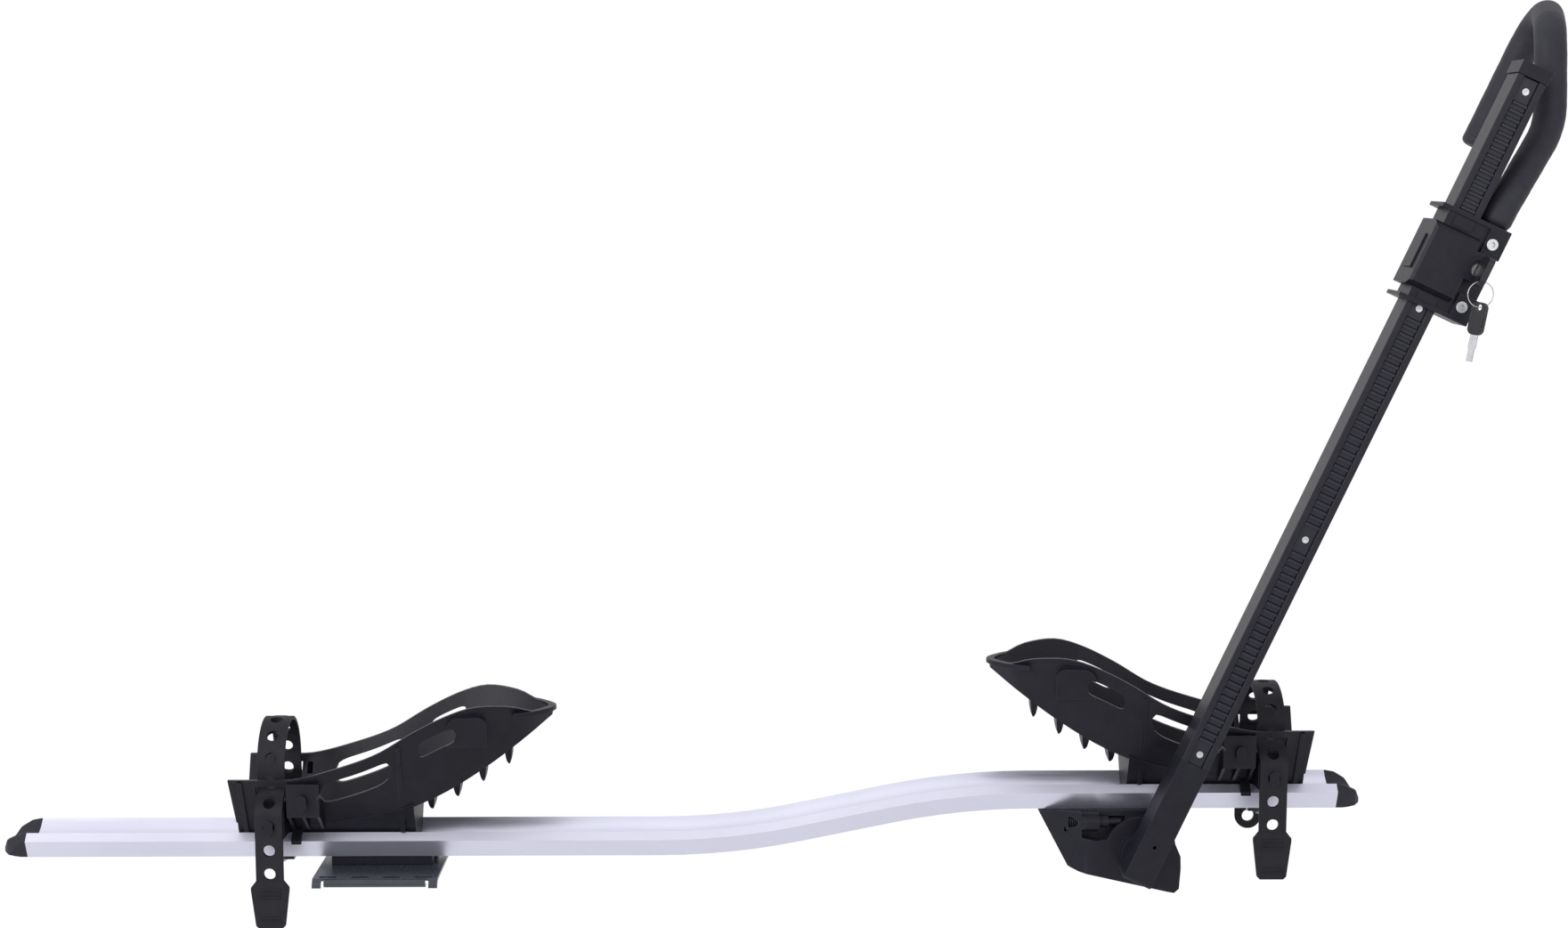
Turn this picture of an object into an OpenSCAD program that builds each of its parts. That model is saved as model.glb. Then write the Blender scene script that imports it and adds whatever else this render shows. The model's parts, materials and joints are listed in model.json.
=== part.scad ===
// Roof bike carrier: two bent rails, two wheel cradles, a folding arm with a sliding hook
// X runs along the rails to the front, Y across them, Z up
// The origin is the centre of the front foot's sole

/* [Rails] */
// Front end of the aluminium
rail_front = 219.5; // [215:0.5:260]
// Rear end of the aluminium
rail_rear = -1132; // [-1200:1:-1120]
// Underside of the front stretch above the origin
rail_z = 73; // [70:0.5:76]
// Step from the rear stretch up to the front one
rail_rise = 48.5; // [40:0.5:52]
// Bend radius at the underside
bend_r = 730; // [600:10:800]
// Slope between the two bends, in degrees
bend_deg = 11.5; // [10:0.5:12]
// Wall of the extrusion
rail_wall = 2; // [1.6:0.1:2.4]
// Length of the end caps
cap_len = 25; // [20:1:32]

/* [Cradles] */
// Strap end of the front cradle
front_cradle_x = 188.4; // [186:0.2:192]
// Strap end of the rear cradle
rear_cradle_x = -917.5; // [-940:0.5:-914]
// Thickness of the cradle walls
wall_t = 4.5; // [3.8:0.1:5]
// Width of the straps
strap_w = 28; // [24:0.5:29]
// Thickness of the straps
strap_t = 4; // [3:0.1:4.2]
// Top of the front strap's loop above the rail rim
front_loop = 102; // [96:1:120]
// Top of the rear strap's loop above the rail rim
rear_loop = 115; // [96:1:120]

/* [Rear plate] */
// Length along the rails
plate_len = 127; // [124:1:140]
// Width across the rails
plate_w = 160; // [150:2:180]
// Sheet thickness
plate_t = 3; // [2.5:0.1:3.5]
// Slot width
slot_w = 7; // [6.5:0.1:9]
// Slot length
slot_len = 20; // [18:0.5:22]

/* [Arm] */
// Lean of the arm above the rails, in degrees
arm_deg = 65.2; // [62:0.2:70]
// Length from the pivot to the top of the tube
arm_len = 863; // [855:1:900]
// Width of the arm as seen from the side
arm_w = 30; // [28:0.2:30]
// Depth of the arm across the rails
arm_d = 36; // [34:0.2:36]
// Tooth pitch of the strip
tooth = 8; // [8:0.1:8.1]

/* [Hook] */
// Diameter of the soft sleeve
sleeve_d = 32; // [28:0.5:32]
// Diameter of the steel tube
hook_d = 22; // [20:0.2:22]
// Distance between the two legs of the hook
hook_gap = 140; // [134:1:150]
// Radius of the two top bends
hook_r = 37; // [34:1:40]

/* [Hidden] */
$fn = 64;
pivot = [13.2, 0, 33.2];
rail_foot_in = 6;
rail_foot_out = 28.5;
apex = [37, 18.2];
rim = [29.5, 25.6];
trough_r = 38.5;
trough_z = rim[1] + sqrt(trough_r * trough_r - rim[0] * rim[0]);
rear_z = rail_z - rail_rise;
mid_len = (rail_rise - 2 * bend_r * (1 - cos(bend_deg))) / sin(bend_deg);
bend_run = 2 * bend_r * sin(bend_deg) + mid_len * cos(bend_deg);
bend_front = -94.5;
bend_rear = round((bend_front - bend_run) * 1000) / 1000;
bolt_y = 17;
m6 = 3;
m8 = 4;
slip = 0.05;
run_gap = 0.4;
arm_back = -62;
arm_front = arm_back - arm_d;
half_w = arm_w / 2;
strip_from = 112;
slider_lo = 620;
slider_hi = 720;
hook_y = arm_back - 18;
hook_v = 34;
foot_y = 50;
foot_t = 4;
sole_slope = 12.8;
plate_mid = -767.5;
plate_top = rear_z - 10;
strap_x = 41.5;
lock_at = [673, -31];
silver = "silver";
coal = [0.12, 0.12, 0.13];

// Corner to corner box
module box(lo, hi) {
  translate(lo)
    cube(hi - lo);
}

// Round rods along X, Y and Z
module rod_x(x0, x1, y, z, r) {
  translate([x0, y, z])
    rotate([0, 90, 0])
      cylinder(h = x1 - x0, r = r);
}
module rod_y(y0, y1, x, z, r) {
  translate([x, y0, z])
    rotate([-90, 0, 0])
      cylinder(h = y1 - y0, r = r);
}
module rod_z(z0, z1, x, y, r) {
  translate([x, y, z0])
    cylinder(h = z1 - z0, r = r);
}

// Side outline in X and Z, from one Y to another
module side_prism(points, y0, y1) {
  translate([0, y1, 0])
    rotate([90, 0, 0])
      linear_extrude(y1 - y0)
        polygon(points);
}
// Cross outline in Y and Z, from one X to another
module cross_prism(points, x0, x1) {
  translate([x0, 0, 0])
    rotate([90, 0, 90])
      linear_extrude(x1 - x0)
        polygon(points);
}
// Copies a shape to the other side of the centre plane
module both_sides() {
  children();
  mirror([0, 1, 0])
    children();
}
// Arm frame: X along the arm from the pivot, Z to its rear side
module arm_frame() {
  translate(pivot)
    rotate([0, -arm_deg, 0])
      children();
}
module front_frame() {
  translate([front_cradle_x, 0, rail_z + rim[1]])
    mirror([1, 0, 0])
      children();
}
module rear_frame() {
  translate([rear_cradle_x, 0, rear_z + rim[1]])
    children();
}
// Coil spring along Z
module coil(r, wire, height, turns) {
  sides = 6;
  steps = turns * 10;
  points = [for (i = [0 : steps], k = [0 : sides - 1])
    let (a = i * 36, b = k * 360 / sides, q = r + wire * cos(b))
      [q * cos(a), q * sin(a), wire + (height - 2 * wire) * i / steps + wire * sin(b)]];
  first = [[for (k = [0 : sides - 1]) k]];
  last = [[for (k = [0 : sides - 1]) steps * sides + sides - 1 - k]];
  skin = [for (i = [0 : steps - 1], k = [0 : sides - 1])
    let (j = (k + 1) % sides)
      [i * sides + k, (i + 1) * sides + k, (i + 1) * sides + j, i * sides + j]];
  polyhedron(points, concat(first, skin, last), convexity = 6);
}

// Rail section: an outline with a concave top, and the hollow inside it
function grid(v) = round(v * 100) / 100;
function arc_pts(r, y0, y1, n) =
  [for (i = [0 : n]) let (y = grid(y0 + (y1 - y0) * i / n)) [y, grid(trough_z - sqrt(r * r - y * y))]];
rail_outline = concat(
  [[rail_foot_in, 0], [rail_foot_out, 0], apex],
  arc_pts(trough_r, rim[0], rail_foot_in, 12));
rail_hollow = concat(
  [[rail_foot_in + rail_wall, rail_wall], [rail_foot_out - 0.6 * rail_wall, rail_wall],
   [apex[0] - 1.2 * rail_wall, apex[1] - 0.2 * rail_wall]],
  arc_pts(trough_r + rail_wall, rim[0] - 0.1, rail_foot_in + rail_wall, 12));
// The section about its middle, a hair larger or smaller, so that the slope laps over the bends
middle = [20, 8];
lap = 2;
function sized(points, k) = [for (p = points) middle + (p - middle) * k];
module straight(points, length) {
  rotate([90, 0, 90])
    linear_extrude(length)
      polygon(points);
}
// Bend about an axis across the rail, above the section (up = -1) or below it (up = 1)
module bend(points, up) {
  rotate([90, 0, 0])
    rotate([0, 0, 90 * up])
      rotate_extrude(angle = bend_deg, $fn = 360)
        polygon([for (p = points) [bend_r + up * p[1], -p[0]]]);
}
// The rail's path: rear straight, lower bend, slope, upper bend, front straight
module rail_path(points, x0, x1, k) {
  translate([x0, 0, rear_z])
    straight(points, bend_rear - x0);
  translate([bend_rear, 0, rear_z + bend_r])
    bend(points, -1);
  translate([bend_rear + bend_r * sin(bend_deg), 0, rear_z + bend_r * (1 - cos(bend_deg))])
    rotate([0, -bend_deg, 0])
      translate([-lap, 0, 0])
        straight(sized(points, k), mid_len + 2 * lap);
  translate([bend_front, 0, rail_z - bend_r])
    bend(points, 1);
  translate([bend_front, 0, rail_z])
    straight(points, x1 - bend_front);
}
plate_bolt_x = [plate_mid - 32, plate_mid + 32];
foot_bolt_x = [-52, 28];
module rail() {
  color(silver)
    difference() {
      rail_path(rail_outline, rail_rear, rail_front, 1.002);
      rail_path(rail_hollow, rail_rear - 1, rail_front + 1, 0.998);
      for (x = plate_bolt_x)
        rod_z(rear_z - 1, rear_z + rail_wall + 1, x, bolt_y, m6 + 0.2);
      for (x = foot_bolt_x)
        rod_z(rail_z - 1, rail_z + rail_wall + 1, x, bolt_y, m6 + 0.2);
    }
}
module near_rail() {
  mirror([0, 1, 0])
    rail();
}
module far_rail() {
  rail();
}

// End cap: the rail's outline narrowed to a rounded nose, and a plug in the hollow
module end_cap(side) {
  plug = 18;
  color(coal) {
    intersection() {
      cross_prism([for (p = rail_outline) [side * p[0], p[1]]], 0, cap_len);
      side_prism([[0, -1], [cap_len * 0.5, 0.8], [cap_len, 4.2], [cap_len, 9], [cap_len * 0.83, 18],
        [cap_len * 0.42, 23.6], [0, 26]], -40, 40);
      linear_extrude(40)
        polygon([[0, 0], [cap_len, 0], [cap_len, side * 22], [cap_len * 0.8, side * 29],
          [cap_len * 0.45, side * 34], [0, side * 40]]);
    }
    box([-plug, min(side * 9.5, side * 26), rail_wall + 0.02], [0.1, max(side * 9.5, side * 26), 11]);
  }
}
module rear_near_cap() {
  translate([rail_rear, 0, rear_z])
    mirror([1, 0, 0])
      end_cap(-1);
}
module rear_far_cap() {
  translate([rail_rear, 0, rear_z])
    mirror([1, 0, 0])
      end_cap(1);
}
module front_near_cap() {
  translate([rail_front, 0, rail_z])
    end_cap(-1);
}
module front_far_cap() {
  translate([rail_front, 0, rail_z])
    end_cap(1);
}

// Smooth curve through the points of a short list
function seg(tab, x, i = 0) = i >= len(tab) - 2 || x < tab[i + 1][0] ? i : seg(tab, x, i + 1);
function tang(tab, i) =
  let (a = tab[max(i - 1, 0)], b = tab[min(i + 1, len(tab) - 1)]) (b[1] - a[1]) / (b[0] - a[0]);
function curve(tab, x) =
  let (i = seg(tab, x), p = tab[i], q = tab[i + 1], h = q[0] - p[0], t = (x - p[0]) / h)
    p[1] * (1 + 2 * t) * (1 - t) * (1 - t) + h * tang(tab, i) * t * (1 - t) * (1 - t)
    + q[1] * t * t * (3 - 2 * t) - h * tang(tab, i + 1) * t * t * (1 - t);

// Cradle, from the strap end (x = 0) to the nose, heights above the rail rim
nose_x = 326;
block_x = 3;
block_end = 186;
flare = 0.552;
foot_half = 26;
tray_top = [[0, 62.5], [40, 62.5], [66, 63], [103, 72], [150, 88.5], [188, 111], [221, 127.5],
  [250, 136.5], [280, 135.5], [298, 131], [306, 127], [326, 125.5]];
tray_floor = [[0, 15.2], [30, 11.3], [60, 10], [100, 12.3], [150, 21.8], [186, 33.5], [222, 49.7],
  [263, 74.5], [301, 102], [326, 122]];
top_half = [[0, 60.5], [120, 60.5], [200, 60.5], [235, 59], [260, 54.5], [282, 46], [300, 36], [314, 24],
  [326, 11]];
low_half = [[0, 31.9], [60, 29.2], [110, 31], [150, 35.4], [186, 40], [221, 36], [250, 30],
  [292, 19], [326, 5]];
function lean(x, h) = 2.5 * max(0, 1 - x / 40) * (1 - h / 62.5);
function tray_half(x) =
  let (t = curve(tray_top, x), f = curve(tray_floor, x), w = curve(top_half, x),
       b = curve(low_half, x), k = min(wall_t, 0.45 * w))
    concat(
      [for (i = [0 : 4]) let (s = i / 4) [b + (w - b) * s, f - 4 + (t - f + 4) * s]],
      [for (i = [0 : 3]) let (s = i / 4) [w - k - (w - b) * s, t - (t - f - 2) * s]],
      [[max(b - k, 1.4), f + 2], [max(b - k - 5, 0.8), f]]);
function tray_ring(x) =
  let (half = tray_half(x), n = len(half))
    concat([for (p = half) [x + lean(x, p[1]), p[0], p[1]]],
      [for (i = [n - 1 : -1 : 0]) [x + lean(x, half[i][1]), -half[i][0], half[i][1]]]);
module tray_shell() {
  n = 40;
  rings = [for (i = [0 : n]) tray_ring(nose_x * i / n)];
  m = len(rings[0]);
  points = [for (r = rings, p = r) p];
  skin = [for (i = [0 : n - 1], k = [0 : m - 1], second = [0, 1])
    let (j = (k + 1) % m, a = i * m + k, b = i * m + j, c = b + m, d = a + m)
      second == 1 ? [a, d, c] : [a, c, b]];
  // The open ends are closed between the outer and the inner skin
  wall = [for (k = [0 : 3], second = [0, 1]) second == 1 ? [k + 1, 9 - k, 8 - k] : [k, 9 - k, k + 1]];
  half = concat(wall, [[0, 10, 9]]);
  first = concat([for (f = half) [f[0], f[2], f[1]]], [for (f = half) [for (i = f) m - 1 - i]],
    [[11, 0, 10], [11, 21, 0]]);
  last = [for (f = first) [n * m + f[0], n * m + f[2], n * m + f[1]]];
  faces = concat(skin, [for (f = first) [f[0], f[2], f[1]]], [for (f = last) [f[0], f[2], f[1]]]);
  polyhedron(points, faces, convexity = 8);
}
// Window in both walls that follows the top edge
module tray_window(x0, x1, below, high) {
  n = 16;
  mid = (x0 + x1) / 2;
  pts = [for (i = [0 : n]) let (x = x0 + (x1 - x0) * i / n,
    e = 0.5 * high * pow(max(0, 1 - pow(abs(2 * (x - mid) / (x1 - x0)), 7)), 0.5),
    c = curve(tray_top, x) - below - high / 2) [x, c, e]];
  side_prism(concat([for (p = pts) [p[0], p[1] + p[2] + 0.01]],
    [for (i = [n : -1 : 0]) [pts[i][0], pts[i][1] - pts[i][2] - 0.01]]), -75, 75);
}
function wall_y(h) = foot_half + flare * h;
plate_y = 57;
module cradle_side() {
  x0 = strap_x - strap_w / 2 - 1;
  x1 = strap_x + strap_w / 2 + 1;
  // End rib and the rib at the end of the block
  cross_prism([[foot_half, 0], [foot_half + 3, 0], [wall_y(60) + 2.5, 60], [wall_y(60) - 3, 60]], 9.5, 14);
  cross_prism([[foot_half, 0], [foot_half + 5, 0], [61.4, 96], [56, 98], [40, 40]], 171, 175);
  // Strip behind the strap and its two ribs
  box([x0, plate_y, 2], [x1, plate_y + 4, 29]);
  for (x = [x0, x1 - 3])
    cross_prism([[foot_half + 1, 1], [plate_y + 1, 2], [plate_y + 1, 29], [wall_y(32) - 2, 32]], x, x + 3);
  // Hook plate and its ribs
  box([x1 + 3, plate_y, 24], [x1 + 36, plate_y + 4, 58]);
  for (x = [x1 + 3, x1 + 18, x1 + 33])
    cross_prism([[foot_half + 2, 2], [plate_y + 1, 24], [plate_y + 1, 58], [wall_y(58) - 3, 58]], x, x + 3);
  // Lug over the rail's bevel
  cross_prism([[24, 0.5], [rim[0] + 0.4, 0.5], [apex[0] + 0.6, -7], [apex[0] + 0.6, -10],
    [apex[0] + 3.2, -10], [apex[0] + 3.2, -6], [rim[0] + 2, 4], [24, 4]], x1 + 3, x1 + 13);
  // Raised pad on the nose, along the flared wall
  translate([242, 48.8, 112])
    rotate([0, 0, -10])
      rotate([-109.4, 0, 0])
        linear_extrude(5.5)
          union() {
            translate([-20, -6])
              square([40, 24]);
            translate([-9, -17])
              square([18, 12]);
            for (x = [-9, 9])
              translate([x, -6])
                circle(11);
          }
}
// Spoon shaped lip round the nose
lip_out = [[290, 44], [301, 38.5], [313, 28.5], [322, 18], [328, 8.5], [330, 0]];
lip_in = [[290, 38], [300, 31.5], [310, 23], [317, 13.5], [321, 5.5], [322, 0]];
function mirrored(side) = concat(side, [for (i = [len(side) - 2 : -1 : 0]) [side[i][0], -side[i][1]]]);
module nose_lip() {
  translate([0, 0, 122.8])
    linear_extrude(4.4)
      difference() {
        polygon(mirrored(lip_out));
        polygon(mirrored(lip_in));
      }
}
module cradle() {
  keel = trough_r - 0.3;
  color(coal)
    difference() {
      union() {
        tray_shell();
        // Block on the rails, flush with the flared walls
        intersection() {
          cross_prism([[-foot_half, 0], [foot_half, 0], [wall_y(40), 40], [-wall_y(40), 40]],
            block_x, block_end);
          side_prism(concat([[block_x, 0]], [[block_end, 0]],
            [for (i = [20 : -1 : 0]) let (x = block_x + 0.5 + (block_end - block_x - 0.5) * i / 20)
              [x, curve(tray_floor, x) - 1]]),
            -60, 60);
        }
        // Keel in the trough of the rails
        intersection() {
          rod_x(block_x, block_end, 0, trough_z - rim[1], keel);
          box([block_x - 1, -foot_half, -20], [block_end + 1, foot_half, 1]);
        }
        both_sides()
          cradle_side();
        nose_lip();
        // Tongues under the nose
        for (x = [200.5 : 26.7 : 281]) {
          w = 0.42 * curve(low_half, x);
          z = curve(tray_floor, x) - 2;
          intersection() {
            cross_prism([for (i = [0 : 16]) let (a = 180 * i / 16) [w * cos(a), z - 20 * sin(a)]],
              x - 6, x + 6);
            side_prism([[x - 3.8, z + 1], [x + 3.8, z + 1], [x + 3.2, z - 9], [x + 2, z - 15.5],
              [x + 0.4, z - 20], [x - 0.6, z - 20], [x - 2.4, z - 15.5], [x - 3.6, z - 9]], -40, 40);
          }
        }
      }
      tray_window(90, 166, 13, 23);
      tray_window(192, 232, 15, 17);
      both_sides() {
        box([strap_x - strap_w / 2 - 0.8, 38, 38], [strap_x + strap_w / 2 + 0.8, 56.5, 55]);
        box([strap_x + 20, 44, 42], [strap_x + 26, 56.5, 55]);
      }
      rod_z(-30, 20, strap_x, 0, m8 + 0.05);
      rod_z(6.5, 20, strap_x, 0, 10);
    }
}
module front_cradle() {
  front_frame()
    cradle();
}
module rear_cradle() {
  rear_frame()
    cradle();
}

// Strap: tail and tab outside the near wall, a loop inside, a round end outside the far wall
hang_y = plate_y + 4 + 0.5 + strap_t / 2;
leg_y = 46.3;
function drift(h) = let (t = min(1, max(0, (h - 27) / 24))) hang_y - (hang_y - leg_y) * (1 - cos(180 * t)) / 2;
function strap_line(loop, far) =
  let (spring = 64, b = loop - spring - strap_t / 2)
    concat(
      [for (h = [-42, 0, 27]) [-hang_y, h]],
      [for (i = [1 : 12]) let (h = 27 + 2 * i) [-drift(h), h]],
      [for (i = [0 : 24]) let (a = 180 - 7.5 * i) [leg_y * cos(a), spring + b * sin(a)]],
      [for (i = [12 : -1 : 1]) let (h = 27 + 2 * i) [drift(h), h]],
      [for (h = [27, 0, far]) [hang_y, h]]);
function normal_at(line, i) =
  let (a = line[max(i - 1, 0)], b = line[min(i + 1, len(line) - 1)], d = b - a) [-d[1], d[0]] / norm(d);
function band(line, t) =
  concat([for (i = [0 : len(line) - 1]) line[i] + normal_at(line, i) * t / 2],
    [for (i = [len(line) - 1 : -1 : 0]) line[i] - normal_at(line, i) * t / 2]);
// Distance along the line to each of its points, and the place of a distance
function run_to(line, i) = i == 0 ? 0 : run_to(line, i - 1) + norm(line[i] - line[i - 1]);
function place(line, s, i = 0) =
  let (d = norm(line[i + 1] - line[i]))
    s <= d || i >= len(line) - 2
      ? [line[i] + (line[i + 1] - line[i]) * s / d, line[i + 1] - line[i]]
      : place(line, s - d, i + 1);
hole_pitch = 24.3;
button_h = 14.7;
hole_r = 6;
tab_len = 49;
module strap(loop, far) {
  line = strap_line(loop, far);
  total = run_to(line, len(line) - 1);
  x0 = strap_x - strap_w / 2;
  half_tab = strap_w / 2 + 5.5;
  color(coal)
    difference() {
      union() {
        cross_prism(band(line, strap_t), x0, x0 + strap_w);
        rod_y(hang_y - strap_t / 2, hang_y + strap_t / 2, strap_x, far, strap_w / 2);
        // Pull tab with grip ribs
        translate([strap_x, 0, -42])
          side_prism([[-strap_w / 2, 1], [-half_tab, -6], [-half_tab, -9], [-strap_w / 2 - 1, 3 - tab_len],
            [-strap_w / 2 + 2, -tab_len], [strap_w / 2 - 2, -tab_len], [strap_w / 2 + 1, 3 - tab_len],
            [half_tab, -9], [half_tab, -6], [strap_w / 2, 1]], -hang_y - 2.5, -hang_y + 2);
        for (z = [-50, -54, -58, -80, -84])
          box([strap_x - 11, -hang_y - 3.4, z - 1], [strap_x + 11, -hang_y - 2.4, z + 1]);
      }
      for (k = [0 : floor((total - 27 + far - 12) / hole_pitch)]) {
        at = place(line, button_h + 42 + hole_pitch * (k - 2));
        translate([strap_x, at[0][0], at[0][1]])
          rotate([atan2(at[1][1], at[1][0]), 0, 0])
            translate([0, 0, -8])
              cylinder(h = 16, r = hole_r);
      }
      for (h = [button_h : -hole_pitch : far + 14])
        rod_y(hang_y - 8, hang_y + 8, strap_x, h, hole_r);
      rod_y(hang_y - 8, hang_y + 8, strap_x, far, hole_r + 0.5);
    }
}
module front_strap() {
  front_frame()
    strap(front_loop, -58);
}
module rear_strap() {
  rear_frame()
    strap(rear_loop, -34);
}
// Oval buttons: one through the strap and one on the hook plate, on both walls
module strap_button(x, h, reach) {
  y0 = plate_y + 4;
  rod_y(y0, y0 + reach, x, h, 4.4);
  translate([x, y0 + reach, h])
    rotate([-90, 0, 0])
      linear_extrude(2.6)
        union() {
          translate([0, 2.6])
            circle(4.8);
          translate([0, -2.6])
            circle(4.8);
          square([9.6, 5.2], center = true);
        }
}
module strap_buttons() {
  color(coal)
    both_sides() {
      strap_button(strap_x, button_h, strap_t + 1.2);
      strap_button(strap_x + strap_w / 2 + 20, 40, 3);
    }
}
module front_strap_buttons() {
  front_frame()
    strap_buttons();
}
module rear_strap_buttons() {
  rear_frame()
    strap_buttons();
}

// Clamp through the gap between the rails
clamp_top = -rim[1] - 0.3;
clamp_t = 4;
module clamp_bolt() {
  color(silver) {
    rod_z(clamp_top - clamp_t - 9, 6.6, strap_x, 0, m8);
    rod_z(6.5, 9.3, strap_x, 0, 9.6);
  }
}
module clamp_plate() {
  color(coal)
    difference() {
      box([strap_x - 18, -25, clamp_top - clamp_t], [strap_x + 18, 25, clamp_top]);
      rod_z(-60, 0, strap_x, 0, m8 + 0.05);
    }
}
module clamp_nut() {
  color(silver)
    difference() {
      translate([strap_x, 0, clamp_top - clamp_t - 7])
        cylinder(h = 7, r = 7.5, $fn = 6);
      rod_z(-60, 0, strap_x, 0, m8 + 0.02);
    }
}
module front_clamp_bolt() {
  front_frame()
    clamp_bolt();
}
module rear_clamp_bolt() {
  rear_frame()
    clamp_bolt();
}
module front_clamp_plate() {
  front_frame()
    clamp_plate();
}
module rear_clamp_plate() {
  rear_frame()
    clamp_plate();
}
module front_clamp_nut() {
  front_frame()
    clamp_nut();
}
module rear_clamp_nut() {
  rear_frame()
    clamp_nut();
}

// Rear crossbar plate: slots along both long sides, a rolled edge and turned-down corners
slot_pitch = 32;
slot_y = plate_w / 2 - 10;
module rear_plate() {
  x0 = plate_mid - plate_len / 2;
  x1 = plate_mid + plate_len / 2;
  roll = 4.5;
  color(coal)
    difference() {
      union() {
        box([x0, -plate_w / 2 + roll, plate_top - plate_t], [x1, plate_w / 2 - roll, plate_top]);
        both_sides() {
          rod_x(x0 + 12, x1 - 12, plate_w / 2 - roll, plate_top - roll, roll);
          for (x = [x0, x1 - 9])
            intersection() {
              difference() {
                rod_x(x, x + 9, plate_w / 2 - 9, plate_top - 9, 9);
                rod_x(x - 1, x + 10, plate_w / 2 - 9, plate_top - 9, 9 - plate_t);
              }
              box([x, plate_w / 2 - 9, plate_top - 9], [x + 9, plate_w / 2, plate_top]);
            }
        }
      }
      both_sides() {
        rod_x(x0 + 12 - 1, x1 - 12 + 1, plate_w / 2 - roll, plate_top - roll, roll - 2);
        for (x = [x0 + 9, x1 - 12])
          box([x, plate_w / 2 - roll - 1, plate_top - 12], [x + 3, plate_w / 2 + 1, plate_top + 1]);
        for (i = [-1.5 : 1 : 1.5])
          translate([plate_mid + slot_pitch * i, slot_y, 0]) {
            flat = (slot_len - slot_w) / 2;
            rod_z(0, plate_top + 5, -flat, 0, slot_w / 2);
            rod_z(0, plate_top + 5, flat, 0, slot_w / 2);
            box([-flat, -slot_w / 2, 0], [flat, slot_w / 2, plate_top + 5]);
          }
        for (x = plate_bolt_x)
          rod_z(0, plate_top + 5, x, bolt_y, m6 + 0.2);
      }
    }
}
module rear_spacers() {
  color(coal)
    both_sides()
      difference() {
        box([plate_mid - 52, 8, plate_top], [plate_mid + 52, 26, rear_z]);
        for (x = plate_bolt_x)
          rod_z(0, rear_z + 5, x, bolt_y, m6 + 0.2);
      }
}
// Screw with a hexagon head below, and its nut
module hex_bolt(x, y, z0, z1) {
  rod_z(z0 - 0.1, z1, x, y, m6);
  translate([x, y, z0 - 4])
    cylinder(h = 4, r = 5.6, $fn = 6);
}
module hex_nut(x, y, z) {
  difference() {
    translate([x, y, z])
      cylinder(h = 5, r = 5.6, $fn = 6);
    rod_z(z - 1, z + 6, x, y, m6 + 0.02);
  }
}
module rear_plate_bolts() {
  color(silver)
    for (x = plate_bolt_x, y = [-bolt_y, bolt_y])
      hex_bolt(x, y, plate_top - plate_t, rear_z + rail_wall + 6);
}
module rear_plate_nuts() {
  color(silver)
    for (x = plate_bolt_x, y = [-bolt_y, bolt_y])
      hex_nut(x, y, rear_z + rail_wall);
}

// Front foot: housing under the rails, its sole sloping down to the front
function sole_z(x) = -tan(sole_slope) * x;
foot_outline = [[-80, rail_z], [-87.5, rail_z - 4], [-59, 15.5], [-48, sole_z(-48)], [44, sole_z(44)],
  [50, -11], [54.9, -6.5], [56.4, 14.3], [56, 27.5], [50.4, 40.5], [45, rail_z]];
seam = [[-74.5, rail_z], [-51, 39.4], [-58, 16]];
arch_r = 35;
hub_r = 20;
latch_y = -39.5;
latch_z = 62;
module foot_plan(inset) {
  linear_extrude(200, center = true)
    polygon([[-90 + inset, -26], [-40 + inset, -foot_y + inset], [60 - inset, -foot_y + inset],
      [60 - inset, foot_y - inset], [-40 + inset, foot_y - inset], [-90 + inset, 26]]);
}
module foot_solid() {
  intersection() {
    side_prism(foot_outline, -foot_y, foot_y);
    foot_plan(0);
  }
}
// Everything ahead of the seam between housing and nose cover
module seam_front(gap) {
  side_prism([[seam[0][0] + gap, 90], [seam[0][0] + gap, seam[0][1]], [seam[1][0] + gap, seam[1][1]],
    [seam[2][0] + gap, seam[2][1]], [seam[2][0] + gap + 10, -40], [80, -40], [80, 90]], -60, 60);
}
module foot_cavity() {
  // Below the arch the walls are thin all round, above it the near side is set back
  intersection() {
    side_prism([[-70, 66], [-50, 26], [-43.5, 14], [-43.5, -30], [48, -30], [50, 26],
      [44, 40], [38, 50], [38, rail_z - foot_t], [-70, rail_z - foot_t]], -foot_y + foot_t, foot_y - foot_t);
    foot_plan(foot_t);
    union() {
      box([-100, -30, -40], [100, 60, 90]);
      box([-100, -60, -40], [60, 60, 40]);
      rod_y(-60, 0, pivot[0], pivot[2], arch_r - 3);
    }
  }
}
module near_recess() {
  difference() {
    side_prism([[-46, rail_z + 1], [-46, 47], [-30, 44], [-18, 46], [-10, 50], [44, 50], [44, rail_z + 1]],
      -foot_y - 1, latch_y + 3);
    rod_y(-60, 0, pivot[0], pivot[2], arch_r);
  }
}
module sole_slots() {
  for (s = [-26, 26])
    translate([s, 0, sole_z(s)])
      rotate([0, sole_slope, 0])
        for (y = [-24, 24])
          rod_z(-20, 20, 0, y, m8 + 0.4);
}
barrel = [-62, -28];
module foot_housing() {
  color(coal)
    difference() {
      union() {
        intersection() {
          foot_solid();
          seam_front(0.4);
        }
        rod_y(arm_back + run_gap, -foot_y + 1, pivot[0], pivot[2], hub_r);
      }
      difference() {
        foot_cavity();
        rod_y(foot_y - 14, foot_y, pivot[0], pivot[2], hub_r - 4);
      }
      difference() {
        near_recess();
        rod_x(barrel[0], barrel[1], latch_y, latch_z, 10);
      }
      for (x = foot_bolt_x, y = [-bolt_y, bolt_y])
        rod_z(50, 90, x, y, m6 + 0.2);
      rod_y(-70, 70, pivot[0], pivot[2], 10 + slip);
      // The index disc turns behind the arch
      rod_y(-45.6, -38.4, pivot[0], pivot[2], 30.6);
      rod_x(barrel[0] + 3, 0, latch_y, latch_z, 6.08);
    }
}
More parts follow.
